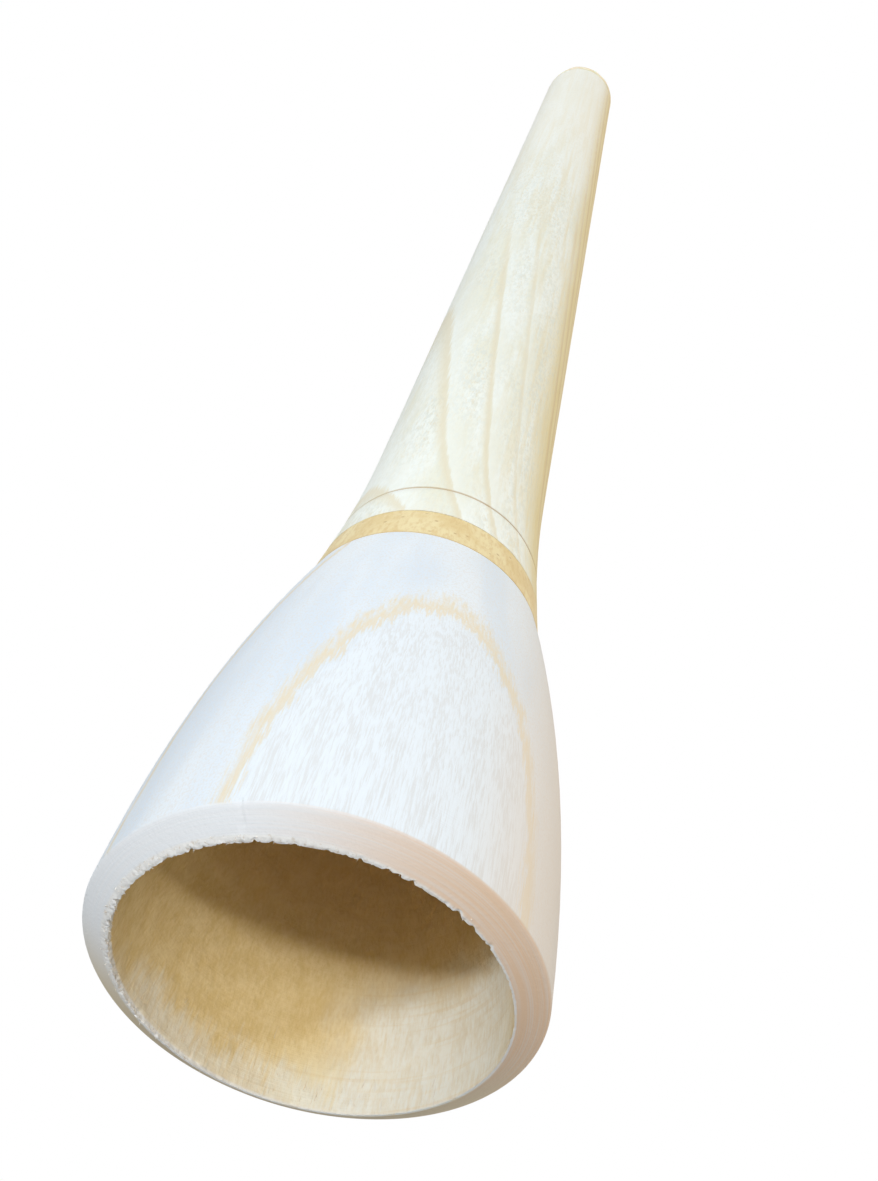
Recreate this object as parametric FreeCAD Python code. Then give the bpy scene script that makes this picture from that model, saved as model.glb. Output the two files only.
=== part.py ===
import FreeCAD, Part
import os

# A take-apart didgeridoo, standing on its bell. The origin is the centre of the bell's mouth, and +Z runs along
# the bore to the mouthpiece. Every piece is turned about Z. Sizes are in millimetres.

# Bell
RIM_INNER_R = 60.0          # inner edge of the bell's mouth
RIM_LAND = 0.8              # width of the flat ring that the bell stands on
RIM_OUTER_R = 70.0          # widest circle, at the top of the rim's bevel
BEVEL_HEIGHT = 5.3
BEVEL_BULGE = 0.2
ARRIS_ROUND = 1.2           # softened edge between bevel and outer wall
BELL_HEIGHT = 168.7
BELL_TOP_R = 46.8
BELL_BULGE = 5.3            # how far the outer wall bows out from a straight line
BOWL_BULGE = 8.0            # the same for the hollow inside
THROAT_R = 27.0
THROAT_LAND = 4.0           # straight stretch below the socket's floor

# Joint between bell and stem
SOCKET_R = 35.0
SOCKET_DEPTH = 49.7
SOCKET_LEAD_IN = 1.0        # chamfer at the socket's mouth
TENON_R = 34.4
TENON_CHAMFER = 1.4
TENON_END_GAP = 1.0         # tenon's end to the socket's floor
SEAT_GAP = 0.1              # collar to the bell's top, a hairline
LAPPING_CLEARANCE = 0.05    # lapping to the socket's wall
LAPPING_DEPTH = 1.6         # recess in the tenon
LAPPING_START = 8.0         # above the tenon's end
LAPPING_WIDTH = 32.0
COLLAR_EDGE = 0.4           # small chamfers that show as fine lines

# Stem
COLLAR_TOP_Z = 187.3
COLLAR_TOP_R = 44.4
TAPER_FOOT_Z = 265.0        # the flared foot runs into the straight taper here
TAPER_FOOT_R = 38.0
FOOT_HOLLOW = 1.13          # how far the flared foot is hollowed
STEM_TOP_Z = 828.0
STEM_TOP_R = 24.4
TENON_BORE_R = 26.0
SCRIBE_Z = 207.9
SCRIBE_WIDTH = 1.5
SCRIBE_DEPTH = 0.8

# Mouthpiece
MOUTH_HOLE_R = 15.0
CROWN_Z = 844.0             # top of the wax rim
CROWN_R = 17.8
LIP_ROLL = 5.0              # depth of the rounding into the hole
SLEEVE_R = 17.5
SLEEVE_DEPTH = 20.0

ELLIPSE_PULL = 0.5523       # handle length that turns a Bezier curve into a quarter of an ellipse
CLOSE = 0.01                # tolerance for finding an edge by its place

TENON_END_Z = BELL_HEIGHT - SOCKET_DEPTH + TENON_END_GAP
LAPPING_Z = TENON_END_Z + LAPPING_START
LAPPING_CORE_R = TENON_R - LAPPING_DEPTH
SLEEVE_Z = STEM_TOP_Z - SLEEVE_DEPTH


def point(radius, height):
    return FreeCAD.Vector(radius, 0, height)


def bowed(start, end, bulge):
    """An arc from start to end whose middle stands off the straight line by bulge, outwards on the way up."""
    first, last = point(*start), point(*end)
    run = last - first
    outward = FreeCAD.Vector(run.z, 0, -run.x).normalize()
    return Part.Arc(first, (first + last) * 0.5 + outward * bulge, last).toShape()


def rounded(start, corner, end):
    """A quarter of an ellipse from start to end, rounding off the corner."""
    first, turn, last = point(*start), point(*corner), point(*end)
    curve = Part.BezierCurve()
    curve.setPoles([first, first + (turn - first) * ELLIPSE_PULL, last + (turn - last) * ELLIPSE_PULL, last])
    return curve.toShape()


def straights(*places):
    return [Part.makeLine(point(*a), point(*b)) for a, b in zip(places, places[1:])]


def turned(edges):
    face = Part.Face(Part.Wire(edges))
    return face.revolve(FreeCAD.Vector(0, 0, 0), FreeCAD.Vector(0, 0, 1), 360)


def softened(solid, radius, height, size):
    """Rounds the circular edge that lies at this radius and height."""
    def is_here(edge):
        box = edge.BoundBox
        level = abs(box.ZMin - height) + abs(box.ZMax - height)
        return abs(box.XMax - radius) < CLOSE and level < CLOSE

    return solid.makeFillet(size, [edge for edge in solid.Edges if is_here(edge)])


def bell():
    land_edge = (RIM_INNER_R + RIM_LAND, 0)
    arris = (RIM_OUTER_R, BEVEL_HEIGHT)
    top_edge = (BELL_TOP_R, BELL_HEIGHT)
    socket_floor = BELL_HEIGHT - SOCKET_DEPTH
    throat_top = (THROAT_R, socket_floor)
    throat = (THROAT_R, socket_floor - THROAT_LAND)
    outline = straights((RIM_INNER_R, 0), land_edge)
    outline.append(bowed(land_edge, arris, BEVEL_BULGE))
    outline.append(bowed(arris, top_edge, BELL_BULGE))
    outline += straights(
        top_edge,
        (SOCKET_R + SOCKET_LEAD_IN, BELL_HEIGHT),
        (SOCKET_R, BELL_HEIGHT - SOCKET_LEAD_IN),
        (SOCKET_R, socket_floor),
        throat_top,
        throat,
    )
    outline.append(bowed(throat, (RIM_INNER_R, 0), -BOWL_BULGE))
    return softened(turned(outline), RIM_OUTER_R, BEVEL_HEIGHT, ARRIS_ROUND)


def scribed_line():
    """The V groove cut round the stem's hollowed foot, as a ring to subtract."""
    way_up = (SCRIBE_Z - COLLAR_TOP_Z) / (TAPER_FOOT_Z - COLLAR_TOP_Z)
    hollow = 4 * FOOT_HOLLOW * way_up * (1 - way_up)
    wood_r = COLLAR_TOP_R - (COLLAR_TOP_R - TAPER_FOOT_R) * way_up - hollow
    spare = 1.0             # the ring stands this far out of the wood
    half = SCRIBE_WIDTH / 2 * (1 + spare / SCRIBE_DEPTH)
    return turned(straights(
        (wood_r + spare, SCRIBE_Z - half),
        (wood_r + spare, SCRIBE_Z + half),
        (wood_r - SCRIBE_DEPTH, SCRIBE_Z),
        (wood_r + spare, SCRIBE_Z - half),
    ))


def stem():
    lapping_top = LAPPING_Z + LAPPING_WIDTH
    foot = (COLLAR_TOP_R, COLLAR_TOP_Z)
    taper_foot = (TAPER_FOOT_R, TAPER_FOOT_Z)
    outline = straights(
        (TENON_BORE_R, TENON_END_Z),
        (TENON_R - TENON_CHAMFER, TENON_END_Z),
        (TENON_R, TENON_END_Z + TENON_CHAMFER),
        (TENON_R, LAPPING_Z),
        (LAPPING_CORE_R, LAPPING_Z),
        (LAPPING_CORE_R, lapping_top),
        (TENON_R, lapping_top),
        (TENON_R, COLLAR_TOP_Z),
        foot,
    )
    outline.append(bowed(foot, taper_foot, -FOOT_HOLLOW))
    outline += straights(
        taper_foot,
        (STEM_TOP_R, STEM_TOP_Z),
        (SLEEVE_R, STEM_TOP_Z),
        (SLEEVE_R, SLEEVE_Z),
        (MOUTH_HOLE_R, SLEEVE_Z),
        (TENON_BORE_R, TENON_END_Z),
    )
    return turned(outline).cut(scribed_line())


def joint_collar():
    bottom = BELL_HEIGHT + SEAT_GAP
    return turned(straights(
        (TENON_R, bottom),
        (BELL_TOP_R - COLLAR_EDGE, bottom),
        (BELL_TOP_R, bottom + COLLAR_EDGE),
        (COLLAR_TOP_R, COLLAR_TOP_Z - COLLAR_EDGE),
        (COLLAR_TOP_R - COLLAR_EDGE, COLLAR_TOP_Z),
        (TENON_R, COLLAR_TOP_Z),
        (TENON_R, bottom),
    ))


def tenon_lapping():
    outer_r = SOCKET_R - LAPPING_CLEARANCE
    return turned(straights(
        (LAPPING_CORE_R, LAPPING_Z),
        (outer_r, LAPPING_Z),
        (outer_r, LAPPING_Z + LAPPING_WIDTH),
        (LAPPING_CORE_R, LAPPING_Z + LAPPING_WIDTH),
        (LAPPING_CORE_R, LAPPING_Z),
    ))


def mouthpiece():
    foot = (STEM_TOP_R, STEM_TOP_Z)
    crown = (CROWN_R, CROWN_Z)
    roll_foot = (MOUTH_HOLE_R, CROWN_Z - LIP_ROLL)
    outline = straights((MOUTH_HOLE_R, SLEEVE_Z), (SLEEVE_R, SLEEVE_Z), (SLEEVE_R, STEM_TOP_Z), foot)
    outline.append(rounded(foot, (STEM_TOP_R, CROWN_Z), crown))
    outline.append(rounded(crown, (MOUTH_HOLE_R, CROWN_Z), roll_foot))
    outline += straights(roll_foot, (MOUTH_HOLE_R, SLEEVE_Z))
    return turned(outline)


os.makedirs("parts", exist_ok=True)
for make in (bell, stem, joint_collar, tenon_lapping, mouthpiece):
    solid = make()
    solid.exportStep(f"parts/{make.__name__}.step")
    box = solid.optimalBoundingBox()
    print(
        f"{make.__name__}: {solid.Volume / 1000:.1f} cm3, valid {solid.isValid()}, "
        f"radius {box.XMax:.2f}, z {box.ZMin:.1f} to {box.ZMax:.1f}"
    )
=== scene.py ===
from math import cos, hypot, pi, radians, sin

import bmesh
import bpy
import numpy as np
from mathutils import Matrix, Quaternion, Vector, noise
from mathutils.bvhtree import BVHTree


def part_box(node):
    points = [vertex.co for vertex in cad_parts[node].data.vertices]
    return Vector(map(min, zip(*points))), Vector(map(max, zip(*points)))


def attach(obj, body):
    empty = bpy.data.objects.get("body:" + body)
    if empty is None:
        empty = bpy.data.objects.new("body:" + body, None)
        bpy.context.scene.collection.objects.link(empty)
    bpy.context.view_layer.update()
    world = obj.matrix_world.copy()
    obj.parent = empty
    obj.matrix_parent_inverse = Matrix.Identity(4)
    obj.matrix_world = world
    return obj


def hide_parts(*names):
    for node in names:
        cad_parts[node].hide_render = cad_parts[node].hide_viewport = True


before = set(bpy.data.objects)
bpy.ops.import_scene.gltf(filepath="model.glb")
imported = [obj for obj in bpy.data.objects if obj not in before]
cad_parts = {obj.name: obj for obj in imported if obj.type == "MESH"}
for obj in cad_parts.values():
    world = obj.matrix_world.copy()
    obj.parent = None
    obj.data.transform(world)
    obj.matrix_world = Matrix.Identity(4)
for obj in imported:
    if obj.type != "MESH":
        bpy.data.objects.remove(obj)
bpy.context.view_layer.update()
mm = 0.001
hair = 0.02 * mm            # just past an edge
crispFrom = radians(40)     # edges that turn more than this stay crisp


class Walls:
    # reads a CAD node's turned walls with rays, so that a finer mesh follows them exactly
    farOut, farUp = 0.5, 2      # metres, well outside the object

    def __init__(self, nodeName):
        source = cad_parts[nodeName].data
        corners = [vertex.co for vertex in source.vertices]
        self.tree = BVHTree.FromPolygons(corners, [face.vertices for face in source.polygons])
        offSeam = radians(0.7)
        self.outward = Vector((sin(offSeam), -cos(offSeam), 0))

    def inner(self, height):
        return hypot(*self.tree.ray_cast(Vector((0, 0, height)), self.outward)[0].xy)

    def outer(self, height):
        start = self.outward * self.farOut + Vector((0, 0, height))
        return hypot(*self.tree.ray_cast(start, -self.outward)[0].xy)

    def topBelow(self, radius, height=farUp):
        # the first face met on the way down from this height
        start = self.outward * radius + Vector((0, 0, height))
        return self.tree.ray_cast(start, Vector((0, 0, -1)))[0].z


def inScene(thing):
    bpy.context.scene.collection.objects.link(thing)
    return thing


def evenly(start, end, count):
    return [start + (end - start) * step / count for step in range(count)]


def spot(angle, radius, height):
    # a place on a turned piece, with the angle from the front towards +X
    return Vector((radius * sin(angle), -radius * cos(angle), height))


def turnedMesh(name, outline, turns, shape, marks=()):
    # sweeps a closed outline of (radius, height) round Z; shape takes an angle and a row of it,
    # and gives the radius, the height and one value for each mark
    rows = len(outline)
    points, values = [], []
    for turnStep in range(turns):
        angle = 2 * pi * turnStep / turns
        for row, (radius, height) in enumerate(outline):
            r, h, *extra = shape(angle, row, radius, height)
            points.append(spot(angle, r, h))
            values.append(extra)
    faces = []
    for turnStep in range(turns):
        here, there = turnStep * rows, (turnStep + 1) % turns * rows
        for row in range(rows):
            after = (row + 1) % rows
            faces.append((here + row, there + row, there + after, here + after))
    mesh = bpy.data.meshes.new(name)
    mesh.from_pydata(points, [], faces)
    for markName, column in zip(marks, zip(*values)):
        attribute = mesh.attributes.new(markName, "FLOAT", "POINT")
        attribute.data.foreach_set("value", np.array(column, np.float32))
    work = bmesh.new()
    work.from_mesh(mesh)
    bmesh.ops.recalc_face_normals(work, faces=work.faces)
    work.to_mesh(mesh)
    work.free()
    mesh.shade_smooth()
    mesh.set_sharp_from_angle(angle=crispFrom)
    return inScene(bpy.data.objects.new(name, mesh))


def fade(value, low, high):
    # 0 below low, 1 above high, and smooth between
    share = min(1.0, max(0.0, (value - low) / (high - low)))
    return share * share * (3 - 2 * share)


class Term:
    # one number in a shader or Geometry Nodes tree; Python maths on it adds Math nodes
    def __init__(self, tree, socket):
        self.tree = tree
        self.socket = socket

    def __add__(self, other):
        return self.tree.maths("ADD", self, other)

    def __radd__(self, other):
        return self.tree.maths("ADD", other, self)

    def __sub__(self, other):
        return self.tree.maths("SUBTRACT", self, other)

    def __rsub__(self, other):
        return self.tree.maths("SUBTRACT", other, self)

    def __mul__(self, other):
        return self.tree.maths("MULTIPLY", self, other)

    def __rmul__(self, other):
        return self.tree.maths("MULTIPLY", other, self)

    def __truediv__(self, other):
        return self.tree.maths("DIVIDE", self, other)

    def __pow__(self, other):
        return self.tree.maths("POWER", self, other)


class NodeTree:
    def __init__(self, tree):
        self.tree = tree
        tree.nodes.clear()

    def node(self, kind, settings=None, sockets=None):
        # settings come first, because some of them decide which sockets there are
        made = self.tree.nodes.new(kind)
        for key, value in (settings or {}).items():
            setattr(made, key, value)
        for key, value in (sockets or {}).items():
            self.feed(made.inputs[key], value)
        return made

    def feed(self, socket, value):
        value = value.socket if isinstance(value, Term) else value
        if isinstance(value, bpy.types.NodeSocket):
            self.tree.links.new(value, socket)
        elif isinstance(value, tuple) and socket.type == "RGBA":
            socket.default_value = (*value, 1)
        else:
            socket.default_value = value

    def maths(self, operation, first, second=0.0):
        made = self.node("ShaderNodeMath", {"operation": operation}, {0: first, 1: second})
        return Term(self, made.outputs[0])

    def vectorOf(self, x, y, z):
        return self.node("ShaderNodeCombineXYZ", sockets={0: x, 1: y, 2: z}).outputs[0]

    def partsOf(self, vector):
        split = self.node("ShaderNodeSeparateXYZ", sockets={0: vector})
        return [Term(self, split.outputs[i]) for i in range(3)]

    def vectorMaths(self, operation, first, second):
        key = "Scale" if operation == "SCALE" else 1
        return self.node("ShaderNodeVectorMath", {"operation": operation}, {0: first, key: second}).outputs[0]


class Finish(NodeTree):
    # a material; its grains, steps and bumps are named in its piece's plan
    def __init__(self, name, plan):
        self.material = bpy.data.materials.new(name)
        self.material.use_nodes = True
        self.plan = plan
        super().__init__(self.material.node_tree)

    def step(self, value, low, high):
        # 0 below low, 1 above high, and smooth between
        sockets = {"Value": value, "From Min": low, "From Max": high}
        made = self.node("ShaderNodeMapRange", {"interpolation_type": "SMOOTHSTEP"}, sockets)
        return Term(self, made.outputs[0])

    def rise(self, name, value):
        return self.step(value, *self.plan["steps"][name])

    def noiseAt(self, place, detail=3.0, roughness=0.5):
        sockets = {"Vector": place, "Scale": 1.0, "Detail": detail, "Roughness": roughness}
        return Term(self, self.node("ShaderNodeTexNoise", {"noise_dimensions": "3D"}, sockets).outputs["Fac"])

    def place(self, scale, shift=(0, 0, 0)):
        where = self.node("ShaderNodeTexCoord").outputs["Object"]
        sockets = {"Vector": where, "Location": shift, "Scale": scale}
        return self.node("ShaderNodeMapping", sockets=sockets).outputs[0]

    def grain(self, name):
        kind = dict(self.plan["grains"][name])
        scale = tuple(perMm / mm for perMm in kind.pop("scale"))
        return self.noiseAt(self.place(scale, kind.pop("shift", (0, 0, 0))), **kind)

    def axes(self):
        # object coordinates in millimetres
        return self.partsOf(self.place((1 / mm,) * 3))

    def fromAxis(self, x, y):
        return self.maths("SQRT", x ** 2.0 + y ** 2.0)

    def aroundNoise(self, fine, detail=3.0):
        # streaks that run round the axis, as a turning tool leaves them
        slow, slope = 0.02, 1.7     # their change round the axis, and how much height counts beside radius
        x, y, z = self.axes()
        across = (self.fromAxis(x, y) + z * slope) * fine
        return self.noiseAt(self.vectorOf(x * slow, y * slow, across), detail)

    def mark(self, name):
        sockets = {"attribute_type": "GEOMETRY", "attribute_name": name}
        return Term(self, self.node("ShaderNodeAttribute", sockets).outputs["Fac"])

    def blend(self, share, first, second):
        settings = {"data_type": "RGBA", "blend_type": "MIX", "clamp_factor": True}
        return self.node("ShaderNodeMix", settings, {0: share, 6: first, 7: second}).outputs[2]

    def bump(self, name, height, under=None, where=1.0):
        deep, strength = self.plan["bumps"][name]
        sockets = {"Height": height, "Distance": where * (deep * mm), "Strength": strength}
        if under:
            sockets["Normal"] = under
        return self.node("ShaderNodeBump", sockets=sockets).outputs[0]

    def surface(self, **looks):
        names = {
            "colour": "Base Color", "roughness": "Roughness", "normal": "Normal",
            "gloss": "Specular IOR Level", "through": "Subsurface Weight", "throughScale": "Subsurface Scale",
        }
        sockets = {names[key]: value for key, value in looks.items()}
        shader = self.node("ShaderNodeBsdfPrincipled", sockets=sockets)
        self.node("ShaderNodeOutputMaterial", sockets={"Surface": shader.outputs[0]})
        return self.material


class Growth(NodeTree):
    # a Geometry Nodes tree with named sizes
    def __init__(self, name, sizes):
        super().__init__(bpy.data.node_groups.new(name, "GeometryNodeTree"))
        face = self.tree.interface
        face.new_socket("Base", in_out="INPUT", socket_type="NodeSocketGeometry")
        face.new_socket("Result", in_out="OUTPUT", socket_type="NodeSocketGeometry")
        kinds = {int: "NodeSocketInt", float: "NodeSocketFloat", str: "NodeSocketString"}
        for sizeName, value in sizes.items():
            face.new_socket(sizeName, in_out="INPUT", socket_type=kinds[type(value)])
        entry = self.node("NodeGroupInput")
        self.base = entry.outputs["Base"]
        self.sizes = {sizeName: Term(self, entry.outputs[sizeName]) for sizeName in sizes}

    def between(self, low, high, seed):
        sockets = {2: low, 3: high, "Seed": seed}
        return Term(self, self.node("FunctionNodeRandomValue", {"data_type": "FLOAT"}, sockets).outputs[1])

    def finished(self, geometry, material):
        plain = self.node("GeometryNodeRealizeInstances", sockets={"Geometry": geometry}).outputs[0]
        dressed = self.node("GeometryNodeSetMaterial", sockets={"Geometry": plain, "Material": material})
        self.node("NodeGroupOutput", sockets={"Result": dressed.outputs[0]})


def grown(name, growth, sizes, base=None):
    # runs a tree, on a copy of the base piece where it has one, and keeps the plain mesh
    mesh = base.data.copy() if base else bpy.data.meshes.new(name)
    piece = inScene(bpy.data.objects.new(name, mesh))
    modifier = piece.modifiers.new(name, "NODES")
    modifier.node_group = growth.tree
    for item in growth.tree.interface.items_tree:
        if item.name in sizes:
            modifier[item.identifier] = sizes[item.name]
    made = bpy.data.meshes.new_from_object(piece.evaluated_get(bpy.context.evaluated_depsgraph_get()))
    piece.modifiers.remove(modifier)
    piece.data = made
    return piece


def fromHeart(finish, fibres):
    # both woods darken along growth rings, which are cylinders about the tree's heart:
    # this is the distance from it in mm, frayed along the fibres
    rings = finish.plan["rings"]
    x, y, z = finish.axes()
    (heartX, heartY), (leanX, leanY) = rings["heart"], rings["lean"]
    up = z - rings["height"]
    away = finish.maths("SQRT", (x - heartX - up * leanX) ** 2.0 + (y - heartY - up * leanY) ** 2.0)
    return away + (finish.grain("sway") - 0.5) * (2 * rings["sway"]) + (fibres - 0.5) * (2 * rings["feather"])


def ringBands(finish, away, radii, inwards, outwards):
    # 1 on each ring, fading over these widths towards the heart and away from it
    bands = 0.0
    for ring in radii:
        rising = finish.step(away, ring - inwards, ring)
        bands = finish.maths("MAXIMUM", rising * (1 - finish.step(away, ring, ring + outwards)), bands)
    return bands


# the bell is a finer mesh on the CAD's walls, with a torn inner edge. In every plan a size is in mm,
# a grain's scale is how many features fit in a mm along x, y and z, a step is where something begins
# and where it is full, a share is how strong it is, and a bump is its height and strength
bellPlan = {
    "shape": {                  # angles are in degrees from the front towards +X
        "turns": 1180,
        "bowlRows": (11, 5, 15),    # down to the lip, down to its edge, and down to the mouth
        "lip": (14, 6),
        "underThroat": 6,
        "throatLand": 4.0,
        "landWidth": 0.8,
        "landRows": 3,
        "bevelHeight": 5.3,
        "bevelOver": 1.3,           # how far up the bevel's own rows go, in bevel heights
        "sideRows": 14,
        "socketLead": 1.0,
        "socketRows": 4,
        "tornWidth": (0.8, 3.4),    # least and most width of the torn band inside the edge
        "tornBelow": 8,
        "tornSide": -62,            # where it is widest
        "tear": 0.5,
        "bite": 2.4,
        "bitesFrom": 0.16,
        "setBack": 0.15,
        "crackAt": -27,
        "crackWidth": 0.8,
        "crackDepth": 0.5,
        "liftedReach": 20,          # how far up the lower wall the fibres stand up
    },
    "rings": {                  # cut from a wide flat-sawn block, with the heart far behind it
        "heart": (-15, 129),
        "height": 0,
        "lean": (0.0, 0.0),
        "radii": (72, 96, 119, 143, 163, 190),    # the largest draws the arch on the front
        "width": (2.8, 1.0),
        "sway": 3.0,
        "feather": 2.4,
        "wobble": 3.2,
    },
    "tones": {
        "pale": (0.70, 0.77, 0.84), "chalk": (0.79, 0.84, 0.88), "oat": (0.74, 0.71, 0.67),
        "shade": (0.70, 0.71, 0.71), "ring": (0.78, 0.66, 0.44), "cream": (0.86, 0.83, 0.72),
        "paintedSideShade": (0.78, 0.66, 0.54), "bevel": (0.84, 0.85, 0.86), "bevelUnder": (0.78, 0.66, 0.46),
        "bevelSideShade": (0.80, 0.58, 0.40), "honey": (0.74, 0.54, 0.23), "honeyPale": (0.85, 0.66, 0.34),
        "bowlShadeBrown": (0.60, 0.38, 0.16), "straw": (0.92, 0.82, 0.56), "worn": (0.84, 0.78, 0.64),
        "wornPale": (0.92, 0.92, 0.85), "torn": (0.88, 0.86, 0.82), "tornPitShade": (0.72, 0.64, 0.54),
    },
    "grains": {
        "fibres": {"scale": (1.0, 1.0, 0.07), "detail": 4.0, "roughness": 0.6},
        "sway": {"scale": (0.012, 0.012, 0.004), "detail": 2.0},
        "broad": {"scale": (0.05, 0.05, 0.008), "detail": 2.0},
        "speckle": {"scale": (1.6, 1.6, 1.1)},
        "wobble": {"scale": (0.09, 0.09, 0.05), "shift": (5, 5, 8)},
        "combed": {"scale": (1.7, 1.7, 0.10), "detail": 5.0, "roughness": 0.7, "shift": (7, 3, 1)},
        "thick": {"scale": (0.16, 0.16, 0.03), "detail": 2.0, "shift": (4, 8, 2)},
        "grainy": {"scale": (0.9, 0.9, 0.35), "detail": 5.0, "roughness": 0.6},
        "dabs": {"scale": (0.15, 0.15, 0.11), "detail": 2.5, "roughness": 0.45, "shift": (8, 2, 6)},
        "patchy": {"scale": (0.10, 0.10, 0.03), "detail": 4.0, "roughness": 0.6},
        "lumps": {"scale": (0.8, 0.8, 0.6), "detail": 4.0, "shift": (3, 1, 5)},
    },
    "streaksFine": 1.1,
    "toolMarksFine": 0.35,
    "steps": {
        "inArch": (190, 192.0), "silver": (0.3, 0.7), "speckle": (0.44, 0.66), "combed": (0.37, 0.58),
        "backStreaks": (0.40, 0.60), "back": (6, 40), "rightSideShade": (34, 66), "bevelSideShade": (-20, 62),
        "bevelStreaks": (0.42, 0.66), "bevelUnder": (-5, 45), "honey": (0.34, 0.66),
        "pastLitDepth": (30, 58), "pastLip": (4, 28), "lowerWall": (-20, 15), "straw": (-16, 10),
        "wornAndLitSide": (2, 34), "wornLip": (-17, -3), "lipSide": (5, 40), "wornTone": (0.38, 0.60),
        "deep": (42, 75), "toolMarks": (0.5, 0.7), "tips": (0.30, 0.46), "torn": (0.05, 0.6),
    },
    "shares": {
        "speckle": 0.5, "thick": 0.28, "combed": 0.8, "combedLeast": 0.2, "backStreaks": 0.5,
        "backLeast": 0.4, "ringLeast": 0.42, "ringFibres": 0.6, "rightSideShade": 0.62, "bevelStreaks": 0.26,
        "straw": 0.8, "wornAndLitSide": 0.88, "wornLip": 0.55, "deep": 0.5, "toolMarks": 0.22, "torn": 0.85,
    },
    "bumps": {
        "fibres": (0.30, 0.5),
        "streaks": (0.25, 0.35),
        "grainy": (0.55, 0.7),
        "dabs": (2.0, 0.55),
        "lumps": (0.5, 0.7),
    },
}


def bellSide(finish, x, y, fibres):
    # outside the arch the wood is smooth and silvery, and inside it the fibres show
    tones, shares, rings = bellPlan["tones"], bellPlan["shares"], bellPlan["rings"]
    broad = finish.grain("broad")
    away = fromHeart(finish, fibres) + (finish.grain("wobble") - 0.5) * rings["wobble"]
    line = ringBands(finish, away, rings["radii"], *rings["width"])
    smooth = finish.blend(finish.rise("silver", broad), tones["pale"], tones["chalk"])
    speckle = finish.rise("speckle", finish.grain("speckle"))
    smooth = finish.blend(speckle * shares["speckle"], smooth, tones["oat"])
    combed = finish.grain("combed") + (finish.grain("thick") - 0.5) * shares["thick"]
    combed = finish.rise("combed", combed) * shares["combed"] + shares["combedLeast"]
    fibrous = finish.blend(combed, tones["shade"], tones["chalk"])
    side = finish.blend(finish.rise("inArch", away), smooth, fibrous)
    backStreaks = finish.rise("backStreaks", fibres * 0.6 + broad * 0.4)
    backStreaks = backStreaks * shares["backStreaks"] + shares["backLeast"]
    side = finish.blend(finish.rise("back", y) * backStreaks, side, tones["cream"])
    side = finish.blend(line * (shares["ringLeast"] + fibres * shares["ringFibres"]), side, tones["ring"])
    # painted shade: the +X side turns warmer and darker, as the light falls off towards it
    rightSideShade = finish.rise("rightSideShade", x * 0.95 - y * 0.2)
    return finish.blend(rightSideShade * shares["rightSideShade"], side, tones["paintedSideShade"])


def bellBevel(finish, x, y, streaks):
    # it is cut across the fibres, so it is streaked round the axis
    tones, shares = bellPlan["tones"], bellPlan["shares"]
    # painted shade: the bevel turns warmer and darker towards the +X side
    bevel = finish.blend(finish.rise("bevelSideShade", x - y * 0.3), tones["bevel"], tones["bevelSideShade"])
    bevel = finish.blend(finish.rise("bevelStreaks", streaks) * shares["bevelStreaks"], bevel, tones["chalk"])
    return finish.blend(finish.rise("bevelUnder", y), bevel, tones["bevelUnder"])


def bellBowl(finish, place, fibres, grainy, dabs):
    # honey-coloured, with a paler worn side that starts along one growth line; the pale side fades out where
    # the lamps' shadow begins, so it is partly a painted pool of light
    tones, shares = bellPlan["tones"], bellPlan["shares"]
    x, y, z = place
    mixed = grainy * 0.55 + dabs * 0.45
    bowl = finish.blend(finish.rise("honey", mixed), tones["honey"], tones["honeyPale"])
    patchy = finish.grain("patchy")
    # partly painted light: the paler side ends at the depth where the bowl falls into shadow
    litShallow = 1 - finish.rise("pastLitDepth", z + (patchy - 0.5) * 30)
    nearLip = 1 - finish.rise("pastLip", z + (patchy - 0.5) * 20)
    across = x + (patchy - 0.5) * 34 + (fibres - 0.5) * 8
    lowerWall = finish.rise("lowerWall", y)
    straw = finish.rise("straw", across) * lowerWall * nearLip
    bowl = finish.blend(straw * shares["straw"], bowl, tones["straw"])
    wornTone = finish.rise("wornTone", fibres * 0.4 + mixed * 0.6)
    worn = finish.blend(wornTone, tones["worn"], tones["wornPale"])
    wornAndLitSide = finish.rise("wornAndLitSide", across) * lowerWall * litShallow
    bowl = finish.blend(wornAndLitSide * shares["wornAndLitSide"], bowl, worn)
    wornLip = finish.rise("wornLip", (patchy - 0.5) * 40 + (fibres - 0.5) * 16 - z)
    wornLip = wornLip * finish.rise("lipSide", y)
    bowl = finish.blend(wornLip * shares["wornLip"], bowl, worn)
    # painted shade: the bowl turns dark brown deeper in, where the light does not reach
    bowl = finish.blend(finish.rise("deep", z) * shares["deep"], bowl, tones["bowlShadeBrown"])
    toolMarks = finish.rise("toolMarks", finish.aroundNoise(bellPlan["toolMarksFine"], detail=2.0))
    return finish.blend(toolMarks * shares["toolMarks"], bowl, tones["honey"])


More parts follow.
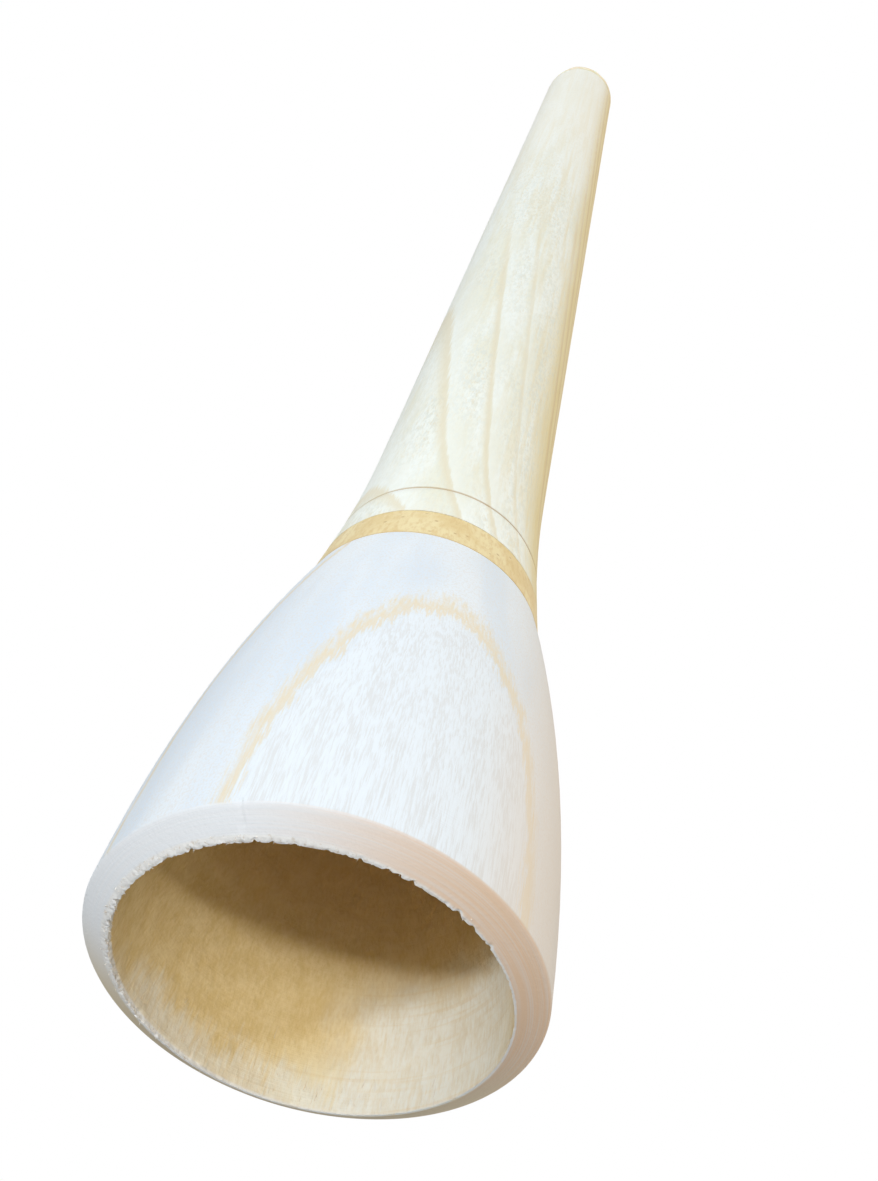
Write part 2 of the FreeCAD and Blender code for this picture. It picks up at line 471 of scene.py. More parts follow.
def bellWood():
    tones, shares = bellPlan["tones"], bellPlan["shares"]
    finish = Finish("bellWood", bellPlan)
    x, y, z = finish.axes()
    inside, torn, onBevel = finish.mark("inside"), finish.mark("torn"), finish.mark("bevel")
    fibres, grainy, dabs = finish.grain("fibres"), finish.grain("grainy"), finish.grain("dabs")
    streaks, lumps = finish.aroundNoise(bellPlan["streaksFine"]), finish.grain("lumps")
    outside = finish.blend(onBevel, bellSide(finish, x, y, fibres), bellBevel(finish, x, y, streaks))
    colour = finish.blend(inside, outside, bellBowl(finish, (x, y, z), fibres, grainy, dabs))
    # torn wood is pale on its tips, and its pits get painted shade, on the same lumps that its bump raises
    frayed = finish.blend(finish.rise("tips", lumps), tones["tornPitShade"], tones["torn"])
    colour = finish.blend(finish.rise("torn", torn) * shares["torn"], colour, frayed)
    normal = finish.bump("streaks", streaks, under=finish.bump("fibres", fibres))
    normal = finish.bump("grainy", grainy, under=normal, where=inside)
    normal = finish.bump("dabs", dabs, under=normal, where=inside)
    normal = finish.bump("lumps", lumps, under=normal, where=torn)
    return finish.surface(colour=colour, roughness=0.62 + fibres * 0.2, normal=normal, gloss=0.3)


def bellOutline(walls, socketFloor, top):
    shape = bellPlan["shape"]
    mouthR = walls.inner(hair)
    lip, lipEdge = [height * mm for height in shape["lip"]]
    toLip, toLipEdge, toMouth = shape["bowlRows"]
    bevelTop = shape["bevelHeight"] * shape["bevelOver"] * mm
    heights = [socketFloor, socketFloor - shape["throatLand"] * mm]
    heights += evenly(heights[-1] - shape["underThroat"] * mm, lip, toLip)
    heights += evenly(lip, lipEdge, toLipEdge) + evenly(lipEdge, 0, toMouth)
    bowl = [(walls.inner(min(height, socketFloor - hair)), height) for height in heights]
    land = [(r, 0) for r in evenly(mouthR, mouthR + shape["landWidth"] * mm, shape["landRows"])]
    bevel = [(walls.outer(height), height) for height in evenly(hair, bevelTop, shape["sideRows"])]
    side = [(walls.outer(height), height) for height in evenly(bevelTop, top, shape["sideRows"])]
    socketR, lead = walls.inner(socketFloor + 5 * mm), shape["socketLead"] * mm
    shoulder = [(walls.outer(top - hair), top), (socketR + lead, top), (socketR, top - lead)]
    socket = [(socketR, height) for height in evenly(top - 2 * lead, socketFloor, shape["socketRows"])]
    floor = [(socketR, socketFloor), ((socketR + bowl[0][0]) / 2, socketFloor)]
    return bowl, land, bevel, side + shoulder + socket + floor


def tornShape(mouthR, insideRows, bevelRows):
    sizes = bellPlan["shape"]
    narrow, wide = sizes["tornWidth"]
    tornSide, crackAt = radians(sizes["tornSide"]), radians(sizes["crackAt"])
    crackWidth = sizes["crackWidth"] * mm / mouthR
    crackDepth, bevelHeight = sizes["crackDepth"] * mm, sizes["bevelHeight"] * mm
    liftedReach, biteShift = sizes["liftedReach"] * mm, Vector((9, 4, 2))

    def shape(angle, row, radius, height):
        inside, onBevel = float(row in insideRows), float(row in bevelRows)
        side = 0.5 + 0.5 * cos(angle - tornSide)
        width = (narrow + (wide - narrow) * side ** 2) * mm
        fromEdge = hypot(radius - mouthR, height)
        near = fade(width - fromEdge, -0.5 * mm, width * 0.7) if height < sizes["tornBelow"] * mm else 0.0
        place = spot(angle, radius, height) / mm
        lifted = inside * fade(liftedReach - height, 0, 0.02) * fade(-cos(angle), 0.1, 0.8)
        if onBevel:
            crack = ((angle + pi) % (2 * pi) - pi - crackAt) / crackWidth + 1.5 * noise.noise(place * 0.5)
            onBevel = fade(bevelHeight - height, -0.6 * mm, 0.2 * mm)
            radius -= crackDepth * max(0.0, 1 - crack ** 2) * fade(height, 0, 2 * mm)
        if near <= 0:
            return radius, height, inside, 0.0, onBevel, lifted
        rough = near * (0.15 + 0.85 * side) * mm
        lumps = noise.fractal(place * 0.5, 0.8, 2.1, 3) * sizes["tear"]
        bites = max(0.0, noise.noise(place * 0.42 + biteShift) - sizes["bitesFrom"]) * sizes["bite"]
        radius += rough * (lumps + bites + sizes["setBack"])
        height = max(0.0, height + rough * (abs(lumps) * 0.7 + bites * 0.5))
        return radius, height, inside, near * (0.2 + 0.8 * side), onBevel, lifted

    return shape


def makeBell():
    walls = Walls("bell")
    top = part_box("bell")[1].z
    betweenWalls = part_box("tenon_lapping")[1].x - 1.5 * mm
    socketFloor = walls.topBelow(betweenWalls, top + 5 * mm)
    bowl, land, bevel, rest = bellOutline(walls, socketFloor, top)
    outline = bowl + land + bevel + rest
    firstBevel = len(bowl) + len(land)
    bevelRows = range(firstBevel, firstBevel + len(bevel))
    shape = tornShape(walls.inner(hair), range(len(bowl)), bevelRows)
    marks = ("inside", "torn", "bevel", "lifted")
    piece = turnedMesh("bellTurned", outline, bellPlan["shape"]["turns"], shape, marks)
    piece.data.materials.append(bellWood())
    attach(piece, "bell")
    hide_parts("bell")
    print(f"bell: {len(piece.data.polygons)} faces")
    return piece


# loose fibres, on the torn edge and on the lower wall of the bowl
fibrePlan = {
    "sets": {
        "edgeSplinters": {      # short, and pointing out of the torn band
            "where": "torn", "per square metre": 260000.0, "shortest": 0.5 * mm, "longest": 1.6 * mm,
            "width": 0.15 * mm, "run": -0.7, "lift": 0.75, "scatter": 0.7, "seed": 4,
        },
        "bowlFibres": {         # long, and lying nearly flat up the wall
            "where": "lifted", "per square metre": 60000.0, "shortest": 1.5 * mm, "longest": 5.5 * mm,
            "width": 0.13 * mm, "run": 1.0, "lift": 0.10, "scatter": 0.22, "seed": 9,
        },
    },
    "cone": {"Vertices": 5, "Side Segments": 2, "Radius Top": 0.0, "Radius Bottom": 1.0, "Depth": 1.0},
    "tones": {
        "honey": (0.78, 0.64, 0.42), "worn": (0.86, 0.82, 0.75), "edge": (0.86, 0.82, 0.76),
        "dark": (0.62, 0.50, 0.34),
    },
    "grains": {"along": {"scale": (1.2, 1.2, 0.2), "detail": 2.0}},
    "steps": {"wornAndLitSide": (5, 28), "atEdge": (0, 3), "dark": (0.4, 0.65)},
    "edgeHeight": 3.5,
    "darkShare": 0.4,
}


def fibreWood():
    tones = fibrePlan["tones"]
    finish = Finish("fibreWood", fibrePlan)
    along = finish.grain("along")
    x, z = finish.axes()[::2]
    colour = finish.blend(finish.rise("wornAndLitSide", x), tones["honey"], tones["worn"])
    colour = finish.blend(finish.rise("atEdge", fibrePlan["edgeHeight"] - z), colour, tones["edge"])
    colour = finish.blend(finish.rise("dark", along) * fibrePlan["darkShare"], colour, tones["dark"])
    return finish.surface(colour=colour, roughness=0.75 + along * 0.1, gloss=0.2)


def fibreTree(material):
    growth = Growth("looseFibres", fibrePlan["sets"]["bowlFibres"])
    sizes = growth.sizes
    share = growth.node("GeometryNodeInputNamedAttribute", {"data_type": "FLOAT"}, {"Name": sizes["where"]})
    density = sizes["per square metre"] * Term(growth, share.outputs[0])
    sockets = {"Mesh": growth.base, "Density": density, "Seed": sizes["seed"]}
    points = growth.node("GeometryNodeDistributePointsOnFaces", sockets=sockets)
    turns = [growth.between(-1.0, 1.0, sizes["seed"] + step) * sizes["scatter"] for step in (1, 2, 3)]
    up = growth.vectorOf(0.0, 0.0, sizes["run"])
    out = growth.vectorMaths("SCALE", points.outputs["Normal"], sizes["lift"])
    aim = growth.vectorMaths("ADD", growth.vectorMaths("ADD", up, out), growth.vectorOf(*turns))
    turned = growth.node("FunctionNodeAlignRotationToVector", {"axis": "Z"}, {"Vector": aim}).outputs[0]
    length = growth.between(sizes["shortest"], sizes["longest"], sizes["seed"] + 4)
    splinter = growth.node("GeometryNodeMeshCone", {"fill_type": "NGON"}, fibrePlan["cone"])
    placed = growth.node("GeometryNodeInstanceOnPoints", sockets={
        "Points": points.outputs["Points"], "Instance": splinter.outputs["Mesh"], "Rotation": turned,
        "Scale": growth.vectorOf(sizes["width"], sizes["width"], length),
    })
    plain = growth.node("GeometryNodeRealizeInstances", sockets={"Geometry": placed.outputs[0]}).outputs[0]
    x, y, z = growth.partsOf(growth.node("GeometryNodeInputPosition").outputs[0])
    aboveFloor = growth.vectorOf(x, y, growth.maths("MAXIMUM", z, 0.0))
    held = growth.node("GeometryNodeSetPosition", sockets={"Geometry": plain, "Position": aboveFloor})
    growth.finished(held.outputs[0], material)
    return growth


def makeFibres(bell):
    growth = fibreTree(fibreWood())
    for name, sizes in fibrePlan["sets"].items():
        piece = grown(name, growth, sizes, bell)
        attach(piece, "bell")
        print(f"{name}: {len(piece.data.polygons)} faces")


stemPlan = {
    "shape": {
        "turns": 240,
        "chamfer": 1.4,
        "footRows": 5,
        "sideRows": 60,
        "boreRows": 14,
        "clear": 2,             # from an edge to the next even row
        "underSleeve": 5,
        "scribeAt": 207.9,
        "scribeHalf": 0.75,
        "waver": 0.10,          # the tool's slight unevenness
        "waverScale": 0.06,
        "waverUp": 0.3,
    },
    "rings": {                  # the heart runs just outside the stem's right side, and leans
        "heart": (33.7, 15.5),
        "height": 300,
        "lean": (0.001, -0.037),
        "radii": (25, 34, 43, 52, 61.5, 70.4, 79),
        "width": (0.6, 2.0),
        "beside": (6.0, 0.5),       # pale wood on the heart's side of each line
        "sway": 1.3,
        "feather": 0.7,
        "heartRadii": (9, 13, 18, 22.5, 28, 33),    # inside the heartwood, seen from the right and the back
        "heartWidth": (0.9, 2.4),
        "heartwoodTaper": 0.04,     # it narrows upwards
        "heartwoodRagged": 10,
    },
    "tones": {
        "cream": (0.84, 0.84, 0.71), "white": (0.90, 0.93, 0.87), "ash": (0.74, 0.77, 0.70),
        "paleTowardsTop": (0.96, 0.94, 0.84), "ring": (0.77, 0.68, 0.46), "tan": (0.76, 0.62, 0.28),
        "tanPale": (0.84, 0.74, 0.45), "tanDeep": (0.62, 0.43, 0.18), "vein": (0.80, 0.71, 0.46),
        "fleck": (0.50, 0.35, 0.16), "scribe": (0.48, 0.33, 0.17),
    },
    "grains": {
        "fibres": {"scale": (0.9, 0.9, 0.03), "detail": 4.0, "roughness": 0.6},
        "sway": {"scale": (0.012, 0.012, 0.004), "detail": 2.0},
        "clouds": {"scale": (0.055, 0.055, 0.011), "detail": 5.0, "roughness": 0.62},
        "grainy": {"scale": (0.55, 0.55, 0.22), "detail": 5.0, "roughness": 0.7},
        "patches": {"scale": (0.03, 0.03, 0.010), "detail": 2.0, "shift": (2, 6, 3)},
        "flecks": {"scale": (1.1, 1.1, 0.30), "detail": 4.0, "shift": (6, 1, 9)},
        "veins": {"scale": (0.30, 0.30, 0.012), "detail": 4.0, "shift": (9, 4, 5)},
    },
    "streaksFine": 0.8,
    "steps": {
        "linesFade": (400, 560), "clearLines": (45, 58), "clouds": (0.38, 0.58),
        "patches": (0.38, 0.60), "mottle": (0.42, 0.60), "smoothUp": (420, 700), "flecks": (0.50, 0.66),
        "fibres": (0.48, 0.72), "veins": (0.46, 0.66), "pastHeart": (40, 72), "paleTowardsTop": (520, 740),
        "pastHeartwood": (33, 49), "tanFlecks": (0.54, 0.70), "tanFibres": (0.36, 0.66),
        "offScribe": (0.35, 0.8), "tenon": (-0.4, 0.4),
    },
    "shares": {                 # two numbers are the least, and what is added to it at most
        "linesFade": 0.85, "clearLines": (0.2, 0.8), "mottle": (0.30, 0.45), "smoothUp": 0.6,
        "flecks": (0.15, 0.25), "fibres": 0.18, "veins": (0.10, 0.40), "beside": 0.55, "line": 0.62,
        "paleTowardsTop": 0.6, "tanFlecks": 0.25, "tanFibres": 0.45, "heartLines": 0.6, "heartwoodAndShade": 0.85,
        "scribe": 0.75, "tenon": 0.35,
    },
    "bumps": {"fibres": (0.22, 0.45), "streaks": (0.12, 0.3)},
}


def between(limits, value):
    least, more = limits
    return least + value * more


def stemPaleWood(finish, z, fibres, grainy, away):
    # clouds, ashy mottling, flecks and veins, with the growth lines over them
    tones, shares, rings = stemPlan["tones"], stemPlan["shares"], stemPlan["rings"]
    shown = 1 - finish.rise("linesFade", z) * shares["linesFade"]
    shown = shown * between(shares["clearLines"], finish.rise("clearLines", away))
    line = ringBands(finish, away, rings["radii"], *rings["width"]) * shown
    beside = ringBands(finish, away, rings["radii"], *rings["beside"]) * shown
    patches = finish.rise("patches", finish.grain("patches"))
    mottle = finish.rise("mottle", grainy) * between(shares["mottle"], patches)
    mottle = mottle * (1 - finish.rise("smoothUp", z) * shares["smoothUp"])
    flecks = finish.rise("flecks", finish.grain("flecks")) * between(shares["flecks"], patches)
    veins = finish.rise("veins", finish.grain("veins"))
    veins = veins * between(shares["veins"], 1 - finish.rise("pastHeart", away))
    colour = finish.blend(finish.rise("clouds", finish.grain("clouds")), tones["cream"], tones["white"])
    colour = finish.blend(mottle, colour, tones["ash"])
    colour = finish.blend(flecks, colour, tones["ring"])
    colour = finish.blend(finish.rise("fibres", fibres) * shares["fibres"], colour, tones["ring"])
    colour = finish.blend(veins, colour, tones["vein"])
    colour = finish.blend(beside * shares["beside"], colour, tones["white"])
    colour = finish.blend(line * shares["line"], colour, tones["ring"])
    # paler towards the top of the stem
    return finish.blend(finish.rise("paleTowardsTop", z) * shares["paleTowardsTop"], colour, tones["paleTowardsTop"])


def stemHeartwood(finish, fibres, grainy, away):
    tones, shares, rings = stemPlan["tones"], stemPlan["shares"], stemPlan["rings"]
    lines = ringBands(finish, away, rings["heartRadii"], *rings["heartWidth"])
    tan = finish.blend(finish.rise("tanFlecks", grainy) * shares["tanFlecks"], tones["tan"], tones["fleck"])
    tan = finish.blend(finish.rise("tanFibres", fibres) * shares["tanFibres"], tan, tones["tanPale"])
    return finish.blend(lines * shares["heartLines"], tan, tones["tanDeep"])


def stemWood():
    tones, shares, rings = stemPlan["tones"], stemPlan["shares"], stemPlan["rings"]
    finish = Finish("stemWood", stemPlan)
    z = finish.axes()[2]
    fibres, grainy = finish.grain("fibres"), finish.grain("grainy")
    away = fromHeart(finish, fibres)
    narrowing = (z - rings["height"]) * rings["heartwoodTaper"]
    edge = away + narrowing + (grainy - 0.5) * rings["heartwoodRagged"]
    # the tan heartwood runs along the stem's right side, so it is partly real heartwood and partly painted
    # shade there
    heartwoodAndShade = 1 - finish.rise("pastHeartwood", edge)
    colour = stemPaleWood(finish, z, fibres, grainy, away)
    tan = stemHeartwood(finish, fibres, grainy, away)
    colour = finish.blend(heartwoodAndShade * shares["heartwoodAndShade"], colour, tan)
    scribed = 1 - finish.rise("offScribe", finish.maths("ABSOLUTE", z - stemPlan["shape"]["scribeAt"]))
    colour = finish.blend(scribed * shares["scribe"], colour, tones["scribe"])
    tenon = finish.rise("tenon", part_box("joint_collar")[1].z / mm - z)
    colour = finish.blend(tenon * shares["tenon"], colour, tones["tan"])
    streaks = finish.aroundNoise(stemPlan["streaksFine"])
    normal = finish.bump("streaks", streaks, under=finish.bump("fibres", fibres))
    return finish.surface(colour=colour, roughness=0.56 + grainy * 0.16, normal=normal, gloss=0.35)


def makeStem():
    sizes, walls = stemPlan["shape"], Walls("stem")
    low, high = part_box("stem")[0].z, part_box("stem")[1].z
    lapLow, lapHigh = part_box("tenon_lapping")[0].z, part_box("tenon_lapping")[1].z
    foot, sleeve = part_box("joint_collar")[1].z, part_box("mouthpiece")[0].z
    scribe, half, clear = sizes["scribeAt"] * mm, sizes["scribeHalf"] * mm, sizes["clear"] * mm
    heights = [low + hair, low + sizes["chamfer"] * mm]
    heights += [edge + side for edge in (lapLow, lapHigh, foot) for side in (-hair, hair)]
    heights += evenly(foot + clear, scribe - clear, sizes["footRows"])
    heights += [scribe - half - hair, scribe - half / 2, scribe, scribe + half / 2, scribe + half + hair]
    heights += evenly(scribe + clear, high - hair, sizes["sideRows"]) + [high - hair]
    bore = [high - hair, sleeve + hair, sleeve - hair]
    bore += evenly(sleeve - sizes["underSleeve"] * mm, low, sizes["boreRows"]) + [low + hair]
    outline = [(walls.outer(height), height) for height in heights]
    outline += [(walls.inner(height), height) for height in bore]

    def shape(angle, row, radius, height):
        if height < foot or row >= len(heights):
            return radius, height
        place = spot(angle, radius, height * sizes["waverUp"]) / mm
        return radius + noise.noise(place * sizes["waverScale"]) * sizes["waver"] * mm, height

    piece = turnedMesh("stemTurned", outline, sizes["turns"], shape)
    piece.data.materials.append(stemWood())
    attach(piece, "stem")
    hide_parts("stem")
    print(f"stem: {len(piece.data.polygons)} faces")


# the collar keeps its CAD shape, in oiled honey-coloured wood
collarPlan = {
    "tones": {
        "straw": (0.82, 0.69, 0.38), "honey": (0.75, 0.58, 0.27), "deep": (0.68, 0.48, 0.20),
        "fleck": (0.46, 0.27, 0.10), "edge": (0.56, 0.38, 0.18),
    },
    "grains": {
        "cloud": {"scale": (0.10, 0.10, 0.06), "detail": 4.0, "roughness": 0.6},
        "fibres": {"scale": (0.5, 0.5, 0.22), "detail": 5.0, "roughness": 0.65},
    },
    "spotsPerMetre": (230, 230, 320),
    "spotsRagged": 0.3,
    "steps": {"cloud": (0.38, 0.62), "fibres": (0.44, 0.64), "offSpot": (0.06, 0.22), "rare": (0.45, 0.65)},
    # painted shade: each end of the collar darkens, where it meets the bell and the stem
    "edge": (0.7, 0.1),         # how far inside each end its dark line begins and is full
    "shares": {"fibres": 0.55, "spots": 0.65, "edge": 0.7},
    "bumps": {"fibres": (0.2, 0.4)},
}


def collarWood():
    tones, shares = collarPlan["tones"], collarPlan["shares"]
    finish = Finish("collarWood", collarPlan)
    z, fibres = finish.axes()[2], finish.grain("fibres")
    colour = finish.blend(finish.rise("cloud", finish.grain("cloud")), tones["straw"], tones["honey"])
    colour = finish.blend(finish.rise("fibres", fibres) * shares["fibres"], colour, tones["deep"])
    sockets = {"Vector": finish.place(collarPlan["spotsPerMetre"]), "Scale": 1.0}
    spots = finish.node("ShaderNodeTexVoronoi", sockets=sockets)
    fromSpot = Term(finish, spots.outputs["Distance"]) + (fibres - 0.5) * collarPlan["spotsRagged"]
    rare = finish.rise("rare", finish.partsOf(spots.outputs["Color"])[0])
    flecks = (1 - finish.rise("offSpot", fromSpot)) * rare
    colour = finish.blend(flecks * shares["spots"], colour, tones["fleck"])
    low, high = [corner.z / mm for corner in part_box("joint_collar")]
    begins, full = collarPlan["edge"]
    topShade = finish.step(z, high - begins, high - full)
    footShade = finish.step(z, low + begins, low + full)
    # painted shade at both ends of the collar
    colour = finish.blend(finish.maths("MAXIMUM", topShade, footShade) * shares["edge"], colour, tones["edge"])
    normal = finish.bump("fibres", fibres)
    return finish.surface(colour=colour, roughness=0.42 + fibres * 0.2, normal=normal, gloss=0.45)


def dressCollar():
    wood = collarWood()
    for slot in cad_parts["joint_collar"].material_slots:
        slot.material = wood
    print("collar: dressed")


# the lapping is waxed thread, wound in the tenon's recess in two layers
lappingPlan = {
    "winding": {
        "turns": 23.0,
        "thread": 1.35 * mm,
        "sway": 0.25 * mm,      # how unevenly it was wound
        "seed": 5,
    },
    "layerIn": 0.5,             # how far in the lower layer lies, in threads
    "turnPoints": 84,
    "sides": 7,
    "swayScale": 70.0,
    "plies": 4.2,               # radians of twist in a thread's width
    "tones": {"dull": (0.56, 0.40, 0.20), "waxy": (0.68, 0.52, 0.29), "groove": (0.30, 0.18, 0.08)},
    "grains": {"cloud": {"scale": (0.2, 0.2, 0.2)}},
    "steps": {"cloud": (0.35, 0.65), "outOfGroove": (0.0, 0.35)},
    "grooveShare": 0.55,
    "bumps": {"ply": (0.15, 0.7)},
}


def threadFibre():
    tones, groove = lappingPlan["tones"], lappingPlan["grooveShare"]
    finish = Finish("waxedThread", lappingPlan)
    ply, cloud = finish.mark("ply"), finish.grain("cloud")
    twist = finish.maths("SINE", ply) * 0.5 + 0.5
    colour = finish.blend(finish.rise("cloud", cloud), tones["dull"], tones["waxy"])
    # painted shade: the thread darkens in the dips of its twist, the same dips its bump makes
    colour = finish.blend(finish.rise("outOfGroove", twist) * -groove + groove, colour, tones["groove"])
    normal = finish.bump("ply", twist)
    return finish.surface(colour=colour, roughness=0.42 + cloud * 0.25, normal=normal, gloss=0.45)


def windingTree(material, windingSizes):
    growth = Growth("woundThread", windingSizes)
    sizes = growth.sizes
    thread = sizes["thread"]
    place = growth.node("GeometryNodeInputPosition").outputs[0]
    sockets = {"Vector": place, "W": sizes["seed"], "Scale": lappingPlan["swayScale"], "Detail": 2.0}
    cloudy = growth.node("ShaderNodeTexNoise", {"noise_dimensions": "4D"}, sockets)
    uneven = Term(growth, cloudy.outputs["Fac"])
    sockets = {"Resolution": lappingPlan["sides"], "Radius": thread * 0.5}
    section = growth.node("GeometryNodeCurvePrimitiveCircle", sockets=sockets)
    layers = []
    for layer in (0, 1):        # the lower layer runs the other way
        radius = sizes["outside radius"] - thread * (0.5 + lappingPlan["layerIn"] * layer)
        spiral = growth.node("GeometryNodeCurveSpiral", sockets={
            "Resolution": lappingPlan["turnPoints"], "Rotations": sizes["turns"], "Start Radius": radius,
            "End Radius": radius, "Height": sizes["rise"] - thread, "Reverse": bool(layer),
        })
        lift = sizes["start height"] + thread * 0.5 + (uneven - 0.5) * sizes["sway"]
        moved = growth.node("GeometryNodeSetPosition", sockets={
            "Geometry": spiral.outputs[0], "Offset": growth.vectorOf(0.0, 0.0, lift),
        })
        along = Term(growth, growth.node("GeometryNodeSplineParameter").outputs["Length"])
        marked = growth.node("GeometryNodeStoreNamedAttribute", {"data_type": "FLOAT"}, {
            "Geometry": moved.outputs[0], "Name": "ply", "Value": along / thread * lappingPlan["plies"],
        })
        tube = growth.node("GeometryNodeCurveToMesh", sockets={
            "Curve": marked.outputs[0], "Profile Curve": section.outputs[0], "Fill Caps": True,
        })
        smooth = growth.node("GeometryNodeSetShadeSmooth", sockets={"Geometry": tube.outputs[0]})
        layers.append(smooth.outputs[0])
    both = growth.node("GeometryNodeJoinGeometry")
    for layer in layers:
        growth.feed(both.inputs[0], layer)
    growth.finished(both.outputs[0], material)
    return growth


def windLapping():
    low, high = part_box("tenon_lapping")
    place = {"outside radius": high.x - hair, "start height": low.z, "rise": high.z - low.z}
    sizes = {**lappingPlan["winding"], **place}
    piece = grown("lappingThread", windingTree(threadFibre(), sizes), sizes)
    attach(piece, "stem")
    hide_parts("tenon_lapping")
    print(f"lapping: {len(piece.data.polygons)} faces")


# the mouthpiece is beeswax, pressed into shape by hand
waxPlan = {
    "shape": {
        "turns": 200,
        "crownDepth": 2,
        "sideRows": 14,
        "crownRows": 16,
        "boreRows": 10,
        "crownInside": 0.3,
        "handScales": (0.10, 0.27),     # broad and fine unevenness from the hand
        "fineHand": 0.4,
        "dent": 0.45,
        "pressedFrom": 3,
        "skirt": 0.7,           # how unevenly the wax meets the wood
        "skirtHeight": 2.5,
        "skirtScale": 0.14,
        "holeClear": 3.0,       # the wax is even at the hole, and pressed fully this far out from it
    },
    "tones": {"pale": (0.90, 0.83, 0.58), "amber": (0.83, 0.68, 0.35), "speck": (0.56, 0.40, 0.18)},
    "grains": {
        "cloud": {"scale": (0.11, 0.11, 0.09), "detail": 4.0, "roughness": 0.55},
        "fine": {"scale": (1.3, 1.3, 1.3)},
        "prints": {"scale": (0.16, 0.16, 0.22), "detail": 1.0, "shift": (1, 7, 4)},
    },
    "steps": {"cloud": (0.35, 0.68), "specks": (0.66, 0.76)},
    "speckShare": 0.45,
    "bumps": {"prints": (0.5, 0.5), "fine": (0.10, 0.35)},
}


def waxFinish():
    tones = waxPlan["tones"]
    finish = Finish("beeswax", waxPlan)
    cloud, fine = finish.grain("cloud"), finish.grain("fine")
    colour = finish.blend(finish.rise("cloud", cloud), tones["pale"], tones["amber"])
    colour = finish.blend(finish.rise("specks", fine) * waxPlan["speckShare"], colour, tones["speck"])
    normal = finish.bump("fine", fine, under=finish.bump("prints", finish.grain("prints")))
    roughness = 0.34 + cloud * 0.22
    return finish.surface(
        colour=colour, roughness=roughness, normal=normal, gloss=0.5, through=0.25, throughScale=2 * mm
    )


def makeMouthpiece():
    sizes, walls = waxPlan["shape"], Walls("mouthpiece")
    low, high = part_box("mouthpiece")
    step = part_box("stem")[1].z
    holeR, crownAt = walls.inner(step), high.z - sizes["crownDepth"] * mm
    side = [low.z + hair, step - hair] + evenly(step + hair, crownAt, sizes["sideRows"])
    crown = evenly(walls.outer(crownAt), holeR + sizes["crownInside"] * mm, sizes["crownRows"])
    bore = evenly(walls.topBelow(crown[-1]) - mm, low.z, sizes["boreRows"]) + [low.z + hair]
    outline = [(walls.outer(height), height) for height in side]
    outline += [(radius, walls.topBelow(radius)) for radius in crown]
    outline += [(walls.inner(height), height) for height in bore]
    broadHand, closeHand = sizes["handScales"]
    holeClear, skirtHeight = sizes["holeClear"] * mm, sizes["skirtHeight"] * mm
    pressedFrom = sizes["pressedFrom"] * mm

    def shape(angle, row, radius, height):
        if height < step + hair:
            return radius, height
        place = spot(angle, radius, height) / mm
        hand = noise.noise(place * broadHand) + sizes["fineHand"] * noise.noise(place * closeHand)
        outerSide = fade(radius, holeR, holeR + holeClear)
        skirt = fade(step + skirtHeight - height, 0, skirtHeight) * sizes["skirt"] * mm
        skirt = skirt * noise.noise(place * sizes["skirtScale"])
        press = sizes["dent"] * mm * hand * outerSide * fade(height, step, step + pressedFrom)
        return radius + press, height + press * 0.5 + skirt * outerSide

    piece = turnedMesh("waxRim", outline, sizes["turns"], shape)
    piece.data.materials.append(waxFinish())
    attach(piece, "stem")
    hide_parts("mouthpiece")
    print(f"mouthpiece: {len(piece.data.polygons)} faces")


view = {
    "place": (0, -0.3429, -0.2460), "along": (0.0065, 0.6106, 0.7919), "roll": 16.43,
    "lens": 42.7, "sensor": 36,
}


def placeCamera():
    data = bpy.data.cameras.new("camera")
    data.lens = view["lens"]
    data.sensor_width = view["sensor"]
    camera = inScene(bpy.data.objects.new("camera", data))
    camera.location = view["place"]
    camera.rotation_mode = "QUATERNION"
    upright = Vector(view["along"]).to_track_quat("-Z", "Y")
    camera.rotation_quaternion = upright @ Quaternion((0, 0, 1), radians(view["roll"]))
    bpy.context.scene.camera = camera


lamps = {                       # each aims at a height on the axis, in metres
    "stripBelow": {
        "from": (0.0, -1.17, -0.55), "to": 0.0, "size": (1.8, 0.05), "watts": 12, "colour": (0.96, 0.98, 1.0),
    },
    "leftWindow": {
        "from": (-1.1, -0.64, -0.44), "to": 0.0, "size": (0.4, 0.08), "watts": 4.2,
        "colour": (0.92, 0.97, 1.0),
    },
    "skylight": {
        "from": (-0.7, -1.0, 1.25), "to": 0.74, "size": (1.2, 1.2), "watts": 5.4, "colour": (0.93, 0.97, 1.0),
    },
    "ceiling": {
        "from": (0.0, -0.4, 3.2), "to": 0.0, "size": (5.0, 5.0), "watts": 72, "colour": (1.0, 1.0, 1.0),
    },
    "backWindow": {
        "from": (0.9, 2.3, 0.9), "to": 0.35, "size": (1.6, 1.6), "watts": 14, "colour": (1.0, 0.95, 0.87),
    },
    "warmWall": {
        "from": (2.5, -0.2, 1.1), "to": 0.2, "size": (1.4, 1.4), "watts": 20, "colour": (1.0, 0.80, 0.50),
    },
}


def hangLamps():
    for name, lamp in lamps.items():
        data = bpy.data.lights.new(name, "AREA")
        data.shape = "RECTANGLE"
        data.size, data.size_y = lamp["size"]
        data.energy = lamp["watts"]
        data.color = lamp["colour"]
        light = inScene(bpy.data.objects.new(name, data))
        light.location = lamp["from"]
        aim = Vector((0, 0, lamp["to"])) - light.location
        light.rotation_euler = aim.to_track_quat("-Z", "Y").to_euler()
    print(f"light: {len(lamps)} lamps")


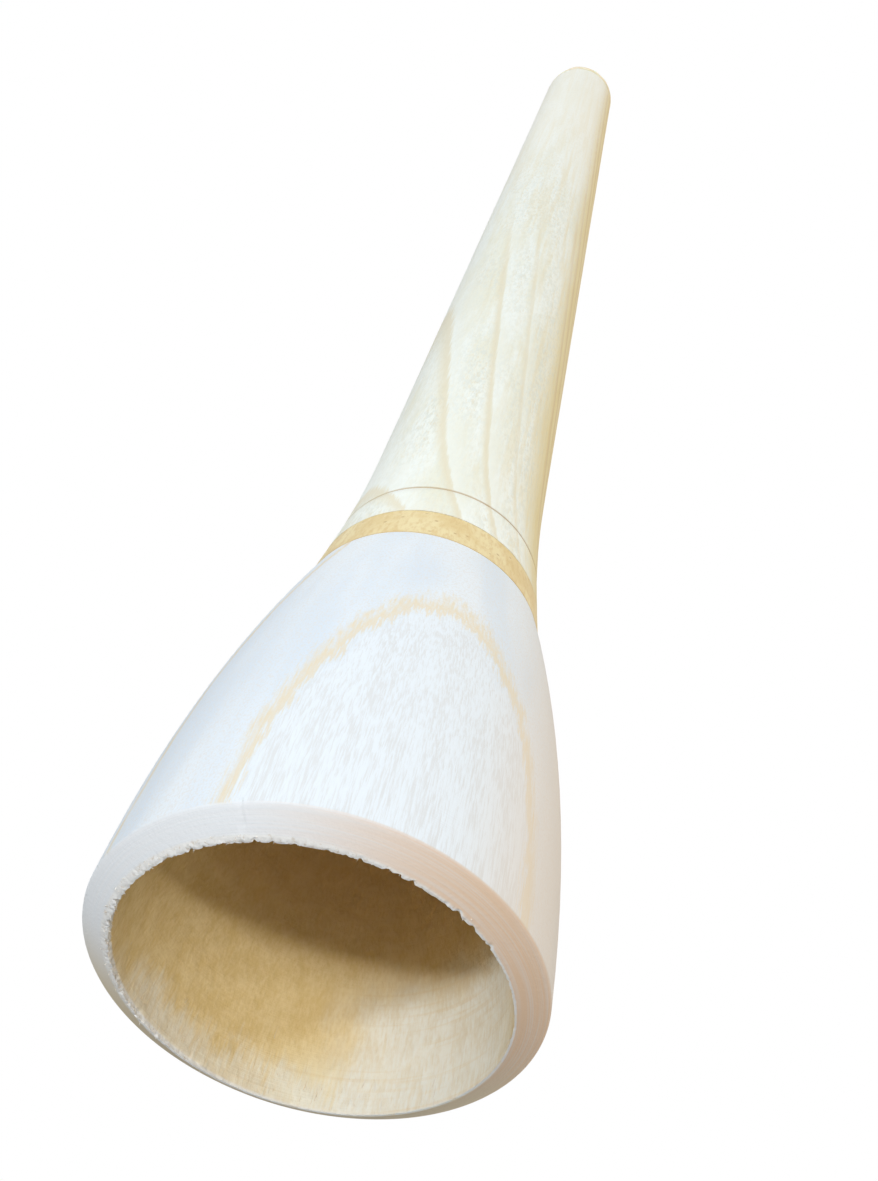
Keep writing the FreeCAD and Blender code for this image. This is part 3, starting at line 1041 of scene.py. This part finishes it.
studioFloor = {
    "half": 6.0,
    "drop": 0.3 * mm,
    "paint": (0.90, 0.90, 0.89),
    "steps": {"fade": (700, 2600)},     # mm from the axis
}


def layFloor():
    half, drop = studioFloor["half"], studioFloor["drop"]
    mesh = bpy.data.meshes.new("floor")
    corners = [(-half, -half, -drop), (half, -half, -drop), (half, half, -drop), (-half, half, -drop)]
    mesh.from_pydata(corners, [], [(0, 1, 2, 3)])
    floor = inScene(bpy.data.objects.new("floor", mesh))
    finish = Finish("floorPaint", studioFloor)
    faded = finish.rise("fade", finish.fromAxis(*finish.axes()[:2]))
    paint = finish.node("ShaderNodeBsdfDiffuse", sockets={"Color": studioFloor["paint"]})
    clear = finish.node("ShaderNodeBsdfTransparent")
    under = Term(finish, finish.node("ShaderNodeNewGeometry").outputs["Backfacing"])
    hidden = finish.maths("MAXIMUM", under, faded)
    both = finish.node("ShaderNodeMixShader", sockets={0: hidden, 1: paint.outputs[0], 2: clear.outputs[0]})
    finish.node("ShaderNodeOutputMaterial", sockets={"Surface": both.outputs[0]})
    mesh.materials.append(finish.material)
    floor.visible_shadow = False    # light comes up through it
    floor.visible_diffuse = False
    print("floor: laid")


room = {"backdrop": (1, 1, 1), "air": (0.96, 0.98, 1.0), "strength": 0.32}


def paintSky():
    # the camera sees a white backdrop, and everything else is lit by the room's pale air
    world = bpy.data.worlds.new("paleRoom")
    world.use_nodes = True
    sky = NodeTree(world.node_tree)
    seen = sky.node("ShaderNodeLightPath").outputs["Is Camera Ray"]
    backdrop = sky.node("ShaderNodeBackground", sockets={"Color": room["backdrop"]})
    air = sky.node("ShaderNodeBackground", sockets={"Color": room["air"], "Strength": room["strength"]})
    both = sky.node("ShaderNodeMixShader", sockets={0: seen, 1: air.outputs[0], 2: backdrop.outputs[0]})
    sky.node("ShaderNodeOutputWorld", sockets={"Surface": both.outputs[0]})
    bpy.context.scene.world = world
    bpy.context.scene.view_settings.view_transform = "Standard"
    print("sky: painted")


placeCamera()
makeFibres(makeBell())
makeStem()
dressCollar()
windLapping()
makeMouthpiece()
hangLamps()
layFloor()
paintSky()
